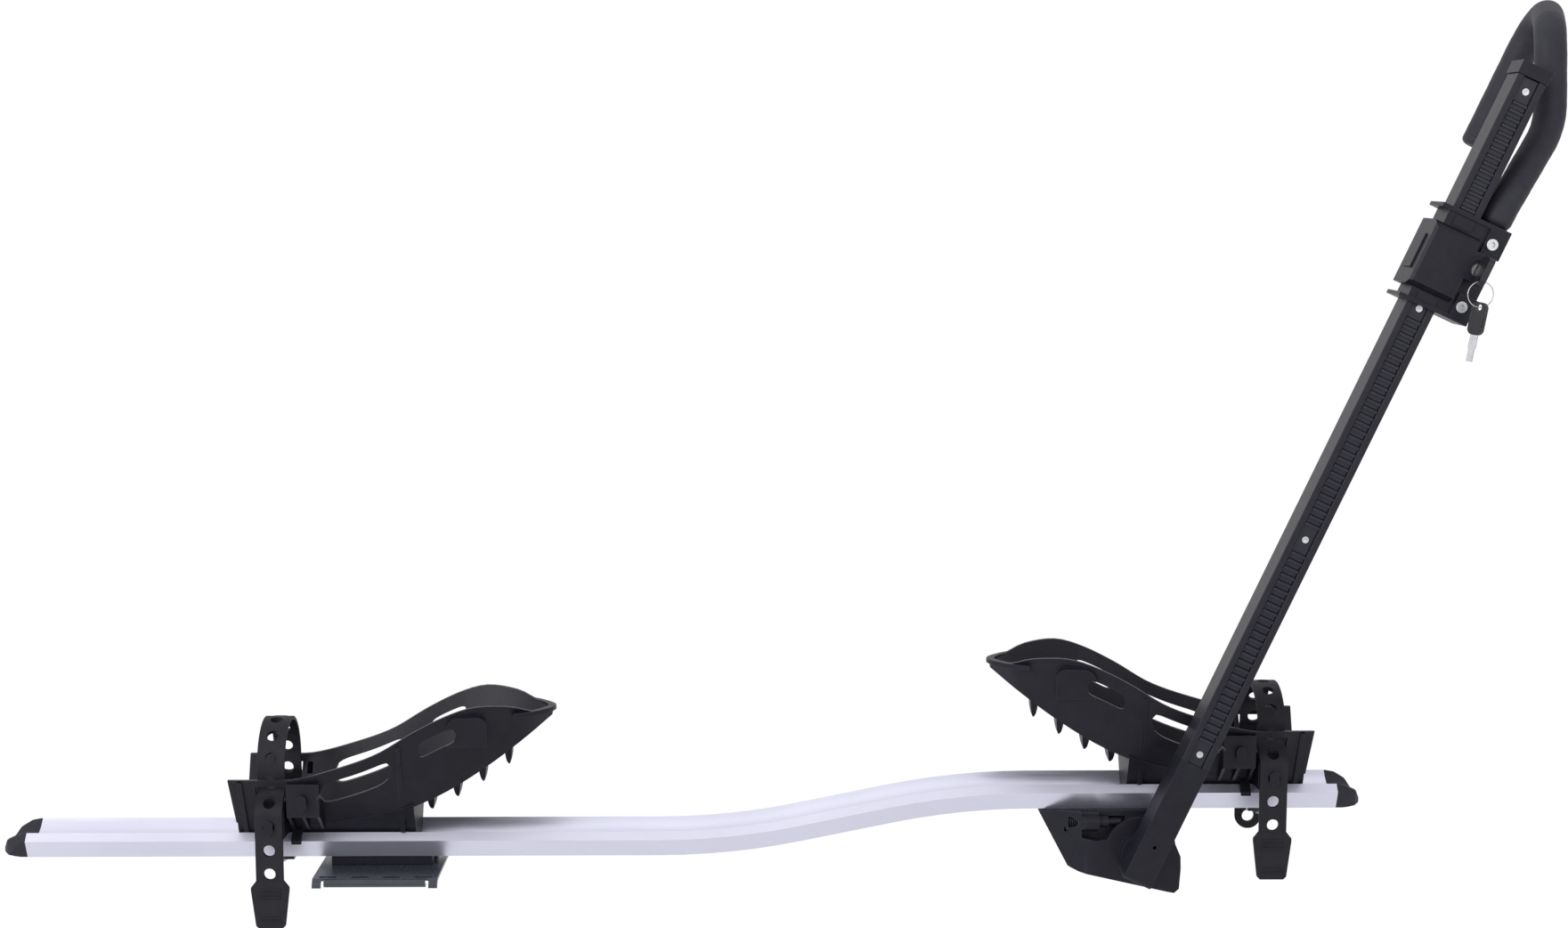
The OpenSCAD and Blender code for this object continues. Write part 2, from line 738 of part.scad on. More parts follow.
module foot_nose_cover() {
  color(coal)
    difference() {
      foot_solid();
      seam_front(-0.1);
      foot_cavity();
      rod_x(barrel[0] - 1, 0, latch_y, latch_z, 10.5);
    }
}
pad_t = 3;
sole_t = 4;
module sole_layer(z0, z1) {
  difference() {
    intersection() {
      side_prism([[-43.5, sole_z(-43.5) + z0], [48, sole_z(48) + z0], [48, sole_z(48) + z1],
        [-43.5, sole_z(-43.5) + z1]], -foot_y + foot_t, foot_y - foot_t);
      foot_plan(foot_t + 0.02);
    }
    sole_slots();
  }
}
module foot_sole_plate() {
  color(silver)
    difference() {
      sole_layer(pad_t, pad_t + sole_t);
      rod_y(disc_y[0] - 1, disc_y[1] + 1, pivot[0], pivot[2], disc_r + 1);
    }
}
module foot_pad() {
  color("black")
    sole_layer(0, pad_t);
}
module foot_bolts() {
  color(silver)
    for (x = foot_bolt_x, y = [-bolt_y, bolt_y])
      hex_bolt(x, y, rail_z - foot_t, rail_z + rail_wall + 6);
}
module foot_nuts() {
  color(silver)
    for (x = foot_bolt_x, y = [-bolt_y, bolt_y])
      hex_nut(x, y, rail_z + rail_wall);
}

// Pivot: the shaft turns with the arm in two bushes
shaft_r = 8;
disc_y = [-45, -39];
module pivot_bushes() {
  color("darkkhaki")
    for (span = [[arm_back + run_gap, -46], [foot_y - 14, foot_y]])
      difference() {
        rod_y(span[0], span[1], pivot[0], pivot[2], 10);
        rod_y(span[0] - 1, span[1] + 1, pivot[0], pivot[2], shaft_r + slip);
      }
}
module pivot_shaft() {
  color(silver)
    rod_y(arm_back - 26, foot_y + 9, pivot[0], pivot[2], shaft_r);
}
disc_r = 30;
module index_disc() {
  color(silver)
    difference() {
      rod_y(disc_y[0], disc_y[1], pivot[0], pivot[2], disc_r);
      rod_y(disc_y[0] - 1, disc_y[1] + 1, pivot[0], pivot[2], shaft_r + 0.02);
      for (a = [60, 90, 215, 245])
        translate(pivot)
          rotate([0, -a, 0])
            rod_y(disc_y[0] - 1, disc_y[1] + 1, disc_r + 1, 0, 4.5);
    }
}
module pivot_washer() {
  color(silver)
    difference() {
      rod_y(foot_y + run_gap, foot_y + run_gap + 1.6, pivot[0], pivot[2], 14);
      rod_y(0, 80, pivot[0], pivot[2], shaft_r + 0.02);
    }
}
module pivot_nut() {
  color(silver)
    difference() {
      translate([pivot[0], foot_y + run_gap + 1.6, pivot[2]])
        rotate([-90, 0, 0])
          cylinder(h = 7, r = 13, $fn = 6);
      rod_y(0, 80, pivot[0], pivot[2], shaft_r + 0.02);
    }
}
plunger_x = -46;
// Latch plunger in the barrel, its tip at the rim of the index disc
module latch_plunger() {
  color([0.05, 0.05, 0.05]) {
    rod_x(plunger_x, -18, latch_y, latch_z, 6);
    rod_x(-18.1, -5.2, latch_y, latch_z, 3.6);
  }
}
module latch_spring() {
  color(silver)
    translate([barrel[0] + 3, latch_y, latch_z])
      rotate([0, 90, 0])
        coil(4.4, 0.6, plunger_x - barrel[0] - 3.02, 6);
}

// Arm: a tube with a groove in its near face
groove_w = 16;
groove_d = 4;
tube_t = 2.5;
floor_y = arm_front + groove_d;
module arm_box(u0, u1, grow) {
  box([u0, arm_front - grow, -half_w - grow], [u1, arm_back + grow, half_w + grow]);
}
screw_u = [strip_from + 12, 364, 617, arm_len - 14];
module arm_tube() {
  color(coal)
    arm_frame()
      difference() {
        arm_box(strip_from, arm_len, 0);
        box([0, floor_y + tube_t, -half_w + tube_t], [1000, arm_back - tube_t, half_w - tube_t]);
        box([0, arm_front - 1, -groove_w / 2], [1000, floor_y, groove_w / 2]);
        for (u = screw_u)
          rod_y(floor_y - 1, floor_y + tube_t + 1, u, 0, 2);
      }
}
module arm_boot() {
  plug = 45;
  color(coal)
    arm_frame()
      difference() {
        union() {
          arm_box(-19, strip_from, 0);
          box([strip_from - 1, floor_y + tube_t + 0.05, -half_w + tube_t + 0.05],
            [strip_from + plug, arm_back - tube_t - 0.05, half_w - tube_t - 0.05]);
        }
        rod_y(arm_back - 26, arm_back + 1, 0, 0, shaft_r + 0.02);
        rod_y(arm_front - 1, arm_front + 8, 19, 0, 2.2);
        rod_y(floor_y, floor_y + 12, screw_u[0], 0, 2);
      }
}
module arm_bottom_cap() {
  color([0.2, 0.2, 0.22])
    arm_frame()
      arm_box(-22, -19, 0.2);
}
module arm_top_cap() {
  color(coal)
    arm_frame()
      difference() {
        union() {
          arm_box(arm_len, arm_len + 13, 1.5);
          box([arm_len - 30, floor_y + tube_t + 0.05, -half_w + tube_t + 0.05],
            [arm_len + 1, arm_back - tube_t - 0.05, half_w - tube_t - 0.05]);
        }
        rod_y(floor_y, floor_y + 12, screw_u[3], 0, 2);
      }
}
// Toothed strip with flat pads at its screws
strip_w = 15;
base_y = floor_y - 1;
tip_y = arm_front - 0.2;
function near_screw(u) = len([for (s = screw_u) if (abs(u - s) < 9) 1]) > 0;
teeth = [for (u = [strip_from + 4 : tooth : arm_len - 8]) if (!near_screw(u)) u];
module toothed_strip() {
  color([0.1, 0.1, 0.11])
    arm_frame()
      difference() {
        union() {
          box([strip_from, base_y, -strip_w / 2], [arm_len - 1, floor_y, strip_w / 2]);
          for (u = teeth)
            translate([u, 0, -strip_w / 2])
              linear_extrude(strip_w)
                polygon([[-1.9, base_y + 0.1], [-1.9, tip_y], [0.6, tip_y], [1.9, base_y + 0.1]]);
        }
        for (u = screw_u)
          rod_y(base_y - 1, floor_y + 1, u, 0, 2);
      }
}
module strip_screws() {
  color(silver)
    arm_frame()
      for (u = screw_u) {
        rod_y(base_y - 0.1, floor_y + tube_t + 3, u, 0, 1.98);
        difference() {
          rod_y(base_y - 1, base_y, u, 0, 3.4);
          rod_y(base_y - 2, base_y - 0.4, u, 0, 1.3);
        }
      }
}

// Slider on the arm: flanges at both ends, the hook tube clamped at the front side
clear = 0.4;
front_y = arm_front - 3;
back_y = arm_back + 5;
left_z = half_w + 2.5;
right_z = -hook_v - 13.4;
flange = 4;
module slider_body() {
  color(coal)
    arm_frame()
      difference() {
        union() {
          box([slider_lo, front_y, right_z + 1], [slider_hi, back_y, left_z]);
          for (u = [slider_lo, slider_hi - flange]) {
            box([u, front_y - 3, right_z], [u + flange, back_y + 1, -half_w]);
            box([u, front_y - 3, -half_w], [u + flange, back_y + 1, half_w + 11.5]);
          }
          // Pads between the flanges and the cover
          for (u = [[slider_lo + 5, slider_lo + 12], [slider_hi - 16, slider_hi - 6]])
            box([u[0], front_y - 2, -10], [u[1], front_y, 9]);
          // Lugs of the clamp screws
          for (u = [[slider_lo, slider_lo + 27], [slider_hi - 30, slider_hi]])
            box([u[0], front_y - 4, right_z], [u[1], front_y, -27]);
        }
        arm_box(0, 1000, clear);
        box([lock_at[0] - 14, front_y - 1, -8], [lock_at[0] + 14, arm_front + 1, 8]);
        rod_x(slider_lo + 2, slider_hi + 1, hook_y, -hook_v, hook_d / 2 + slip);
        for (u = clamp_u)
          rod_y(front_y - 8, back_y + 2, u, -hook_v, 3.05);
      }
}
clamp_u = [slider_lo + 15, slider_hi - 18];
module clamp_screws() {
  color(silver)
    arm_frame()
      for (u = clamp_u) {
        rod_y(front_y - 4.1, back_y + 5, u, -hook_v, m6);
        difference() {
          rod_y(front_y - 7.5, front_y - 4, u, -hook_v, 5.6);
          translate([u, front_y - 7.6, -hook_v])
            rotate([-90, 0, 0])
              cylinder(h = 2.4, r = 2.9, $fn = 6);
        }
      }
}
module clamp_nuts() {
  color(silver)
    arm_frame()
      for (u = clamp_u)
        difference() {
          translate([u, back_y, -hook_v])
            rotate([-90, 0, 0])
              cylinder(h = 4.5, r = 5.6, $fn = 6);
          rod_y(back_y - 1, back_y + 8, u, -hook_v, m6 + 0.02);
        }
}
// Cover over the pawl, with the lock boss and a window for the release button
cover_u = [slider_lo + 14, slider_hi - 18];
cover_y = front_y - 12;
cover_z = half_w + 11;
button_u = [cover_u[0] + 16, cover_u[1] - 16];
button_y = [arm_front, arm_back - 8];
inner_z = left_z + 6.4;
module slider_cover() {
  color(coal)
    arm_frame()
      difference() {
        union() {
          intersection() {
            cross_prism([[front_y, -22], [cover_y + 2, -22], [cover_y, -20], [cover_y, cover_z - 3],
              [cover_y + 2, cover_z], [front_y, cover_z]], cover_u[0], cover_u[1]);
            translate([0, 0, -30])
              linear_extrude(70)
                polygon([[cover_u[0], front_y], [cover_u[0] + 5, cover_y], [cover_u[1] - 7, cover_y],
                  [cover_u[1] - 3, cover_y + 3], [cover_u[1], front_y]]);
          }
          box([cover_u[0], front_y - 0.1, left_z], [cover_u[1], back_y + 1, cover_z]);
          // Lock boss
          rod_y(cover_y - 1, front_y, lock_at[0], lock_at[1], 12);
          box([lock_at[0] - 12, cover_y, lock_at[1]], [lock_at[0] + 16.6, front_y, -18]);
        }
        box([cover_u[0] + 7, cover_y + 3.2, -20], [cover_u[1] - 7, front_y + 0.01, inner_z]);
        box([button_u[0] - clear, button_y[0] - clear, left_z - 0.01],
          [button_u[1] + clear, button_y[1] + clear, cover_z + 1]);
        box([fork_u[0] - 1, front_y - 1, left_z - 0.01], [fork_u[1] + 1, button_y[0], inner_z]);
        rod_y(cover_y - 3, front_y + 0.01, lock_at[0], lock_at[1], 7.08);
        // Room for the cam's quarter turn
        intersection() {
          rod_y(cam_y[0] - 0.5, front_y + 0.01, lock_at[0], lock_at[1], cam_len + 1.3);
          box([lock_at[0] - 4, cam_y[0] - 1, lock_at[1] - 4],
            [lock_at[0] + 20, front_y + 1, lock_at[1] + 20]);
        }
      }
}
fork_u = [lock_at[0] - 17, lock_at[0] + 9];
cam_y = [cover_y + 7.5, cover_y + 9.5];
cam_len = 13;
pin_y = front_y - 2.8;
travel = 3;
// Button: a plate at the rear side, and a fork whose slanted slots lift the pawl's pin
module fork_slot() {
  translate([fork_u[0] - 1, pin_y, 0])
    rotate([45, 0, 0])
      union() {
        box([0, -1.7, 0], [40, 1.7, travel * 1.42]);
        rod_x(0, 40, 0, 0, 1.7);
        rod_x(0, 40, 0, travel * 1.42, 1.7);
      }
}
module release_button() {
  z0 = left_z + travel + 0.4;
  color([0.17, 0.17, 0.18])
    arm_frame()
      difference() {
        union() {
          box([button_u[0], button_y[0], z0], [button_u[1], button_y[1], cover_z + 2]);
          box([fork_u[0], cover_y + 3.8, z0], [fork_u[1], button_y[0] + 1, z0 + 2.4]);
          for (u = [fork_u[0], fork_u[1] - 3])
            box([u, cover_y + 3.8, -10], [u + 3, front_y - 0.4, z0 + 1]);
          box([fork_u[0], cover_y + 3.8, -12.5], [fork_u[1], cover_y + 6.2, -9.5]);
        }
        fork_slot();
      }
}
module button_spring() {
  color(silver)
    arm_frame()
      translate([fork_u[0] + 4, cover_y + 6.4, -19.98])
        coil(2, 0.4, 7.46, 5);
}
pawl_u = [fork_u[0] + 4, fork_u[1] - 4];
module pawl() {
  // The teeth of the pawl stand in gaps of the strip
  gap_u = [for (u = teeth) if (u + tooth / 2 + 0.2 > pawl_u[0] + 2 && u + tooth / 2 + 0.2 < pawl_u[1] - 2)
    u + tooth / 2 + 0.2];
  color(silver)
    arm_frame()
      difference() {
        union() {
          box([pawl_u[0], front_y - 5, -6], [pawl_u[1], arm_front - 0.6, 6]);
          for (u = gap_u)
            translate([u, 0, -6])
              linear_extrude(12)
                polygon([[-1.2, arm_front - 0.7], [-0.8, base_y - 1.4], [0.4, base_y - 1.4],
                  [1.2, arm_front - 0.7]]);
        }
        rod_x(pawl_u[0] - 1, pawl_u[1] + 1, pin_y, 0, 1.52);
      }
}
module pawl_pin() {
  color(silver)
    arm_frame()
      rod_x(fork_u[0] - 0.6, fork_u[1] + 0.6, pin_y, 0, 1.5);
}

// Hook: the near leg leads from the slider to behind the arm, kinks upright and crosses to the far leg
far_y = hook_y + hook_gap;
far_v = 19.4;
behind_y = arm_back + 18.5;
tip_u = slider_hi + 88;
kink_r = 62;
hook_lap = 1;
hook_path = [[slider_hi + 18, hook_y, -hook_v], [slider_hi + 118, behind_y, -51.3],
  [slider_hi + 200, behind_y, -10], [slider_hi + 242, far_y, -far_v]];
hook_radii = [kink_r, kink_r, hook_r, hook_r];
function unit(d) = d / norm(d);
// Straight stretch between two points, a hair fuller than the bends that it laps
module hook_straight(p, q, r) {
  d = q - p;
  translate(p)
    rotate([0, acos(d[2] / norm(d)), atan2(d[1], d[0])])
      cylinder(h = norm(d), r = r + 0.03);
}
// Bend of a given radius at the corner q between p and n
module hook_corner(p, q, n, radius, r) {
  a = unit(q - p);
  b = unit(n - q);
  turn = acos(a * b);
  inward = unit(b - (a * b) * a);
  from = q - a * radius * tan(turn / 2);
  mid = from + inward * radius;
  out = -inward;
  up = cross(out, a);
  multmatrix([[out[0], a[0], up[0], mid[0]], [out[1], a[1], up[1], mid[1]],
    [out[2], a[2], up[2], mid[2]], [0, 0, 0, 1]])
    rotate_extrude(angle = turn, $fn = 120)
      translate([radius, 0])
        circle(r);
}
function reach(p, q, n, radius) =
  let (turn = acos(unit(q - p) * unit(n - q))) radius * tan(turn / 2) - hook_lap;
module hook_run(u0, u1, r) {
  pts = concat([[u0, hook_y, -hook_v]], hook_path, [[u1, far_y, -far_v]]);
  bends = len(hook_path);
  cut = concat([0], [for (i = [1 : bends]) reach(pts[i - 1], pts[i], pts[i + 1], hook_radii[i - 1])], [0]);
  for (i = [0 : bends])
    hook_straight(pts[i] + unit(pts[i + 1] - pts[i]) * cut[i],
      pts[i + 1] - unit(pts[i + 1] - pts[i]) * cut[i + 1], r);
  for (i = [1 : bends])
    hook_corner(pts[i - 1], pts[i], pts[i + 1], hook_radii[i - 1], r);
}
module hook_tube() {
  color([0.2, 0.2, 0.2])
    arm_frame()
      difference() {
        hook_run(slider_lo + 3, tip_u, hook_d / 2);
        hook_run(slider_lo + 2, tip_u - 1, hook_d / 2 - 2);
        for (u = clamp_u)
          rod_y(hook_y - 20, hook_y + 20, u, -hook_v, 3.05);
      }
}
module hook_sleeve() {
  color(coal)
    arm_frame()
      difference() {
        hook_run(slider_hi + 2, tip_u, sleeve_d / 2);
        hook_run(slider_hi + 1, tip_u - 1, hook_d / 2 + slip);
      }
}
module hook_plug() {
  color(coal)
    arm_frame() {
      rod_x(tip_u - 0.1, tip_u + 18, far_y, -far_v, hook_d / 2 - 2 - slip);
      translate([tip_u, far_y, -far_v])
        rotate([0, -90, 0])
          rotate_extrude()
            union() {
              square([sleeve_d / 2 - 6, 8]);
              square([sleeve_d / 2, 2]);
              translate([sleeve_d / 2 - 6, 2])
                intersection() {
                  circle(6);
                  square(6);
                }
            }
    }
}

// Lock, keys and split ring
module lock_cylinder() {
  color(silver)
    arm_frame()
      difference() {
        rod_y(cover_y - 3, cam_y[0], lock_at[0], lock_at[1], 7);
        box([lock_at[0] - 4.2, cover_y - 4, lock_at[1] - 1.2],
          [lock_at[0] + 4.2, cam_y[0] - 1.5, lock_at[1] + 1.2]);
      }
}
module lock_cam() {
  color(silver)
    arm_frame() {
      rod_y(cam_y[0], cam_y[1], lock_at[0], lock_at[1], 4);
      box([lock_at[0] - 3, cam_y[0], lock_at[1]], [lock_at[0] + 3, cam_y[1], lock_at[1] + cam_len]);
    }
}
module key_blade() {
  color(silver)
    arm_frame()
      box([lock_at[0] - 4, cover_y - 12, lock_at[1] - 1.1], [lock_at[0] + 4, cam_y[0] - 1.8, lock_at[1] + 1.1]);
}
head_y = [cover_y - 32, cover_y - 6];
ring_hole = [lock_at[0] - 9.5, head_y[0] + 6.5];
// Rounded grip of a key, length by width by thickness, about its centre
module key_grip(long, wide, thick, r) {
  linear_extrude(thick, center = true)
    difference() {
      square([long, wide], center = true);
      for (x = [-1, 1], y = [-1, 1])
        translate([x * (long / 2 - r), y * (wide / 2 - r)])
          difference() {
            translate([x > 0 ? 0 : -r, y > 0 ? 0 : -r])
              square([r, r]);
            circle(r);
          }
    }
}
module key_head() {
  color([0.08, 0.08, 0.09])
    arm_frame()
      difference() {
        translate([lock_at[0], (head_y[0] + head_y[1]) / 2, lock_at[1]])
          key_grip(29, head_y[1] - head_y[0], 6, 6);
        translate([ring_hole[0], ring_hole[1], lock_at[1] - 10])
          cylinder(h = 20, r = 3.8);
        box([lock_at[0] - 4.02, cover_y - 12.02, lock_at[1] - 1.12],
          [lock_at[0] + 4.02, cover_y, lock_at[1] + 1.12]);
      }
}
ring_r = 12.5;
wire_r = 0.85;
function arm_point(u, v, y) =
  pivot + [u * cos(arm_deg) + v * sin(arm_deg), y, u * sin(arm_deg) - v * cos(arm_deg)];
ring_top = arm_point(ring_hole[0], -lock_at[1], ring_hole[1]) - [0, 0, 0.5];
ring_mid = ring_top - [0, 0, ring_r];
module key_ring() {
  color(silver)
    translate(ring_mid)
      rotate([90, 0, 0])
        rotate_extrude()
          translate([ring_r, 0])
            circle(wire_r, $fn = 24);
}
// The spare key hangs from the ring, turned half away
module spare_frame() {
  translate(ring_mid - [0, 0, ring_r])
    rotate([0, 10, 0])
      rotate([0, 0, 38])
        rotate([0, 90, 0])
          children();
}
module spare_key_head() {
  color([0.08, 0.08, 0.09])
    spare_frame()
      difference() {
        union() {
          translate([11, 0, 0])
            key_grip(32, 17, 3.6, 6);
          translate([14.5, 0, 0])
            key_grip(20, 15, 5, 5);
        }
        cylinder(h = 20, r = 3.2, center = true);
        box([14, -4.02, -1.12], [40, 4.02, 1.12]);
      }
}
module spare_key_blade() {
  color(silver)
    spare_frame() {
      box([14.02, -4, -1.1], [40, 4, 1.1]);
      box([39, -3, -1.1], [53, 3, 1.1]);
    }
}

near_rail();
far_rail();
rear_near_cap();
rear_far_cap();
front_near_cap();
front_far_cap();
front_cradle();
rear_cradle();
front_strap();
rear_strap();
front_strap_buttons();
rear_strap_buttons();
front_clamp_bolt();
rear_clamp_bolt();
front_clamp_plate();
rear_clamp_plate();
front_clamp_nut();
rear_clamp_nut();
rear_plate();
rear_spacers();
rear_plate_bolts();
rear_plate_nuts();
foot_housing();
foot_nose_cover();
foot_sole_plate();
foot_pad();
foot_bolts();
foot_nuts();
pivot_bushes();
pivot_shaft();
index_disc();
pivot_washer();
pivot_nut();
latch_plunger();
latch_spring();
arm_tube();
arm_boot();
arm_bottom_cap();
arm_top_cap();
toothed_strip();
strip_screws();
slider_body();
slider_cover();
clamp_screws();
clamp_nuts();
hook_tube();
hook_sleeve();
hook_plug();
release_button();
button_spring();
pawl();
pawl_pin();
lock_cylinder();
lock_cam();
key_blade();
key_head();
key_ring();
spare_key_blade();
spare_key_head();
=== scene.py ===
"""Looks of the roof bike carrier: camera, light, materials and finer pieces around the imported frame."""
import json
import math

import bmesh
import bpy
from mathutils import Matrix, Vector


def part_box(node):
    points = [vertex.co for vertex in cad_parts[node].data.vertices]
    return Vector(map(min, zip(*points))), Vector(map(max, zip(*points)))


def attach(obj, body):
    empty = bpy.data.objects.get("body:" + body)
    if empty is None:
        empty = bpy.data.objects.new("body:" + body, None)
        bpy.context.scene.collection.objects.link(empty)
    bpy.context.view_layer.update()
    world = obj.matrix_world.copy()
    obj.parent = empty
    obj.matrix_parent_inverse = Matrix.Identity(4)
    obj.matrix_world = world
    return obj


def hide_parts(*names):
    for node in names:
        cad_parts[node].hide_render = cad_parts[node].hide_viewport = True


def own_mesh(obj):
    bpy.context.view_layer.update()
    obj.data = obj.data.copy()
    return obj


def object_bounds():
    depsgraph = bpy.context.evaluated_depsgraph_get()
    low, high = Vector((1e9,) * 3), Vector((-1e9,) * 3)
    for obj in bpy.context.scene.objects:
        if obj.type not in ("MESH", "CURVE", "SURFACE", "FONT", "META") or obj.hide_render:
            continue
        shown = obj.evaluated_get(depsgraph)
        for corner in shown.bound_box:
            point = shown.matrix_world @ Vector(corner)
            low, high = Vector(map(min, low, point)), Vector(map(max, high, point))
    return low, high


MM = 0.001
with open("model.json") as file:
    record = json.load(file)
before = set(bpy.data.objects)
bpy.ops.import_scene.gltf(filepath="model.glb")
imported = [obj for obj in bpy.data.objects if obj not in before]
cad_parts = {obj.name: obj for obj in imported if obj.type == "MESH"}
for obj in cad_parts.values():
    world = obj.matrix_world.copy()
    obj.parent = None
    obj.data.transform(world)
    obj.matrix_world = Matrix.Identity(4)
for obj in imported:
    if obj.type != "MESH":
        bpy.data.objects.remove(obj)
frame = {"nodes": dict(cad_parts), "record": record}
CAD_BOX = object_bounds()
NODES = frame["nodes"]
scene = bpy.context.scene
scene.view_settings.view_transform = "Standard"


# Camera and light

IMAGE_WIDTH = 1761
SENSOR_MM = 36.0
FOCAL_PX = 2780.0
CAMERA_AT = Vector((-0.3777, -2.5225, 0.7383))
PITCH_DEG = 7.0
YAW_DEG = 0.6
CLIP_END = 60.0
FLOOR_DROP = 0.55
FLOOR_HALF = 20.0
FLOOR_GLOW = 1.06
FLOOR_SEEN = 0.9
WORLD_STRENGTH = 0.5
LAMPS = (
    ("key", (-2.7, -2.0, 1.7), (-0.1, 0.0, 0.4), (1.8, 1.4), 58.0),
    ("top", (-0.3, 0.3, 3.0), (-0.3, 0.0, 0.2), (3.2, 1.6), 5.0),
    ("fill", (1.0, -3.2, 1.2), (0.1, 0.0, 0.4), (2.0, 1.6), 14.0),
)


def add_camera():
    data = bpy.data.cameras.new("camera")
    data.sensor_fit = "HORIZONTAL"
    data.sensor_width = SENSOR_MM
    data.lens = FOCAL_PX / IMAGE_WIDTH * SENSOR_MM
    data.clip_end = CLIP_END
    camera = bpy.data.objects.new("camera", data)
    scene.collection.objects.link(camera)
    camera.location = CAMERA_AT
    camera.rotation_euler = (math.radians(90.0 - PITCH_DEG), 0.0, math.radians(-YAW_DEG))
    scene.camera = camera


def add_area(name, place, target, size, watts):
    data = bpy.data.lights.new(name, "AREA")
    data.shape = "RECTANGLE"
    data.size, data.size_y = size
    data.energy = watts
    lamp = bpy.data.objects.new(name, data)
    scene.collection.objects.link(lamp)
    lamp.location = place
    aim = Vector(target) - Vector(place)
    lamp.rotation_euler = aim.to_track_quat("-Z", "Y").to_euler()


def seen_rays(tree, share=1.0):
    """Share for rays from the camera, from reflections and through glass; none for the other rays."""
    path = tree.nodes.new("ShaderNodeLightPath")
    value = path.outputs["Is Camera Ray"]
    for kind in ("Is Glossy Ray", "Is Transmission Ray"):
        either = tree.nodes.new("ShaderNodeMath")
        either.operation = "MAXIMUM"
        tree.links.new(value, either.inputs[0])
        tree.links.new(path.outputs[kind], either.inputs[1])
        value = either.outputs["Value"]
    part = tree.nodes.new("ShaderNodeMath")
    part.operation = "MULTIPLY"
    part.inputs[1].default_value = share
    tree.links.new(value, part.inputs[0])
    return part.outputs["Value"]


def add_world(strength):
    """White to the camera and to reflections, plain grey light on everything else."""
    world = bpy.data.worlds.new("studio")
    scene.world = world
    world.use_nodes = True
    tree = world.node_tree
    tree.nodes.clear()
    out = tree.nodes.new("ShaderNodeOutputWorld")
    light = tree.nodes.new("ShaderNodeBackground")
    light.inputs["Color"].default_value = (0.96, 0.97, 1.0, 1.0)
    light.inputs["Strength"].default_value = strength
    white = tree.nodes.new("ShaderNodeBackground")
    white.inputs["Color"].default_value = (1.0, 1.0, 1.0, 1.0)
    mix = tree.nodes.new("ShaderNodeMixShader")
    tree.links.new(seen_rays(tree), mix.inputs["Fac"])
    tree.links.new(light.outputs["Background"], mix.inputs[1])
    tree.links.new(white.outputs["Background"], mix.inputs[2])
    tree.links.new(mix.outputs["Shader"], out.inputs["Surface"])


def add_floor():
    """White floor that still takes a part of the object's shadow."""
    low = CAD_BOX[0][2] - FLOOR_DROP
    mesh = bpy.data.meshes.new("floor")
    corners = [(-1, -1), (1, -1), (1, 1), (-1, 1)]
    mesh.from_pydata([(x * FLOOR_HALF, y * FLOOR_HALF, low) for x, y in corners], [], [(0, 1, 2, 3)])
    floor = bpy.data.objects.new("floor", mesh)
    scene.collection.objects.link(floor)
    material = bpy.data.materials.new("floor_white")
    material.use_nodes = True
    tree = material.node_tree
    shader = tree.nodes["Principled BSDF"]
    shader.inputs["Base Color"].default_value = (0.85, 0.85, 0.86, 1.0)
    shader.inputs["Roughness"].default_value = 0.9
    glow = tree.nodes.new("ShaderNodeEmission")
    glow.inputs["Color"].default_value = (1.0, 1.0, 1.0, 1.0)
    glow.inputs["Strength"].default_value = FLOOR_GLOW
    mix = tree.nodes.new("ShaderNodeMixShader")
    tree.links.new(seen_rays(tree, FLOOR_SEEN), mix.inputs["Fac"])
    tree.links.new(shader.outputs["BSDF"], mix.inputs[1])
    tree.links.new(glow.outputs["Emission"], mix.inputs[2])
    tree.links.new(mix.outputs["Shader"], tree.nodes["Material Output"].inputs["Surface"])
    mesh.materials.append(material)


add_camera()
add_world(WORLD_STRENGTH)
for lamp_values in LAMPS:
    add_area(*lamp_values)
add_floor()


# Materials

def new_material(name):
    material = bpy.data.materials.new(name)
    material.use_nodes = True
    tree = material.node_tree
    return material, tree, tree.nodes["Principled BSDF"]


def object_noise(tree, scale, detail=4.0, roughness=0.55, stretch=(1.0, 1.0, 1.0)):
    """Noise in the object's own metres; stretch scales each axis."""
    coord = tree.nodes.new("ShaderNodeTexCoord")
    mapping = tree.nodes.new("ShaderNodeMapping")
    mapping.inputs["Scale"].default_value = stretch
    noise = tree.nodes.new("ShaderNodeTexNoise")
    noise.inputs["Scale"].default_value = scale
    noise.inputs["Detail"].default_value = detail
    noise.inputs["Roughness"].default_value = roughness
    tree.links.new(coord.outputs["Object"], mapping.inputs["Vector"])
    tree.links.new(mapping.outputs["Vector"], noise.inputs["Vector"])
    return noise.outputs["Fac"]


def spread(tree, value, low, high):
    """Maps the middle of a noise onto a range."""
    node = tree.nodes.new("ShaderNodeMapRange")
    node.inputs["From Min"].default_value = 0.3
    node.inputs["From Max"].default_value = 0.7
    node.inputs["To Min"].default_value = low
    node.inputs["To Max"].default_value = high
    tree.links.new(value, node.inputs["Value"])
    return node.outputs["Result"]


def tint(tree, value, dark, light):
    """Colour between two values, by a noise."""
    ramp = tree.nodes.new("ShaderNodeValToRGB")
    ramp.color_ramp.elements[0].position = 0.32
    ramp.color_ramp.elements[0].color = (*dark, 1.0)
    ramp.color_ramp.elements[1].position = 0.68
    ramp.color_ramp.elements[1].color = (*light, 1.0)
    tree.links.new(value, ramp.inputs["Fac"])
    return ramp.outputs["Color"]


def bump(tree, shader, value, distance, strength=1.0):
    node = tree.nodes.new("ShaderNodeBump")
    node.inputs["Distance"].default_value = distance
    node.inputs["Strength"].default_value = strength
    tree.links.new(value, node.inputs["Height"])
    tree.links.new(node.outputs["Normal"], shader.inputs["Normal"])


